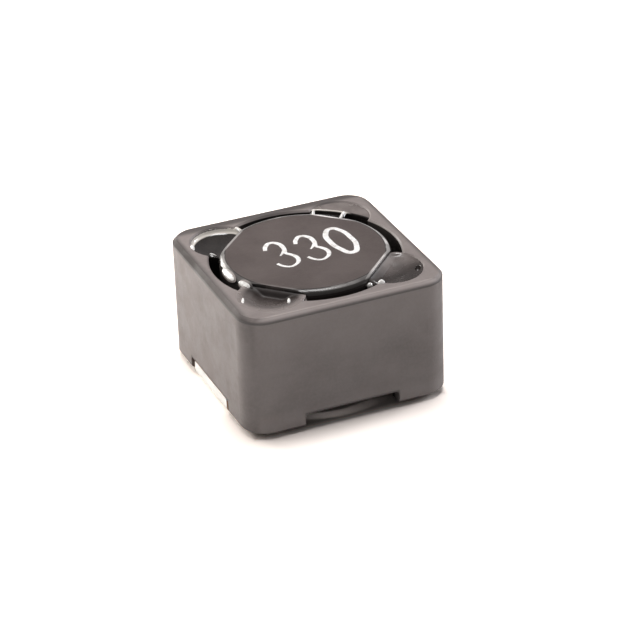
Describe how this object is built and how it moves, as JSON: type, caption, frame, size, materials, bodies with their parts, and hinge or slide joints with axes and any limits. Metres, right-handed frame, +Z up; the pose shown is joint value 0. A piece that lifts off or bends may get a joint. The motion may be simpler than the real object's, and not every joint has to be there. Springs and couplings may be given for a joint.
{
  "type": "shielded surface-mount inductor",
  "caption": "Square shielded power inductor: a ferrite ring round a wound drum core, epoxy in its corners, and two tinned terminals under its sides.",
  "frame": {"origin": "middle of the footprint, on the plane of the two solder pads", "axes": "+Z up, away from the board; the terminals are on the -X and +X sides; the printed value reads along +X with its top towards +Y"},
  "size_m": [0.0122, 0.0122, 0.0077],
  "materials": {
    "shield_ferrite": "tumbled sintered ferrite, satin grey",
    "drum_ferrite": "ground sintered ferrite, satin dark grey",
    "enamelled_copper": "enamelled copper wire, glossy red-brown",
    "tinned_copper": "tinned copper strip, satin bright",
    "solder": "reflowed solder, bright",
    "epoxy": "cured epoxy, glossy dark"
  },
  "bodies": {
    "root": {"shield_core": "shield_ferrite", "drum_core": "drum_ferrite", "winding": "enamelled_copper", "terminal_left": "tinned_copper", "terminal_right": "tinned_copper", "solder_joint_left": "solder", "solder_joint_right": "solder", "adhesive_back_left": "epoxy", "adhesive_back_right": "epoxy", "adhesive_front_right": "epoxy", "adhesive_front_left": "epoxy"}
  },
  "joints": []
}
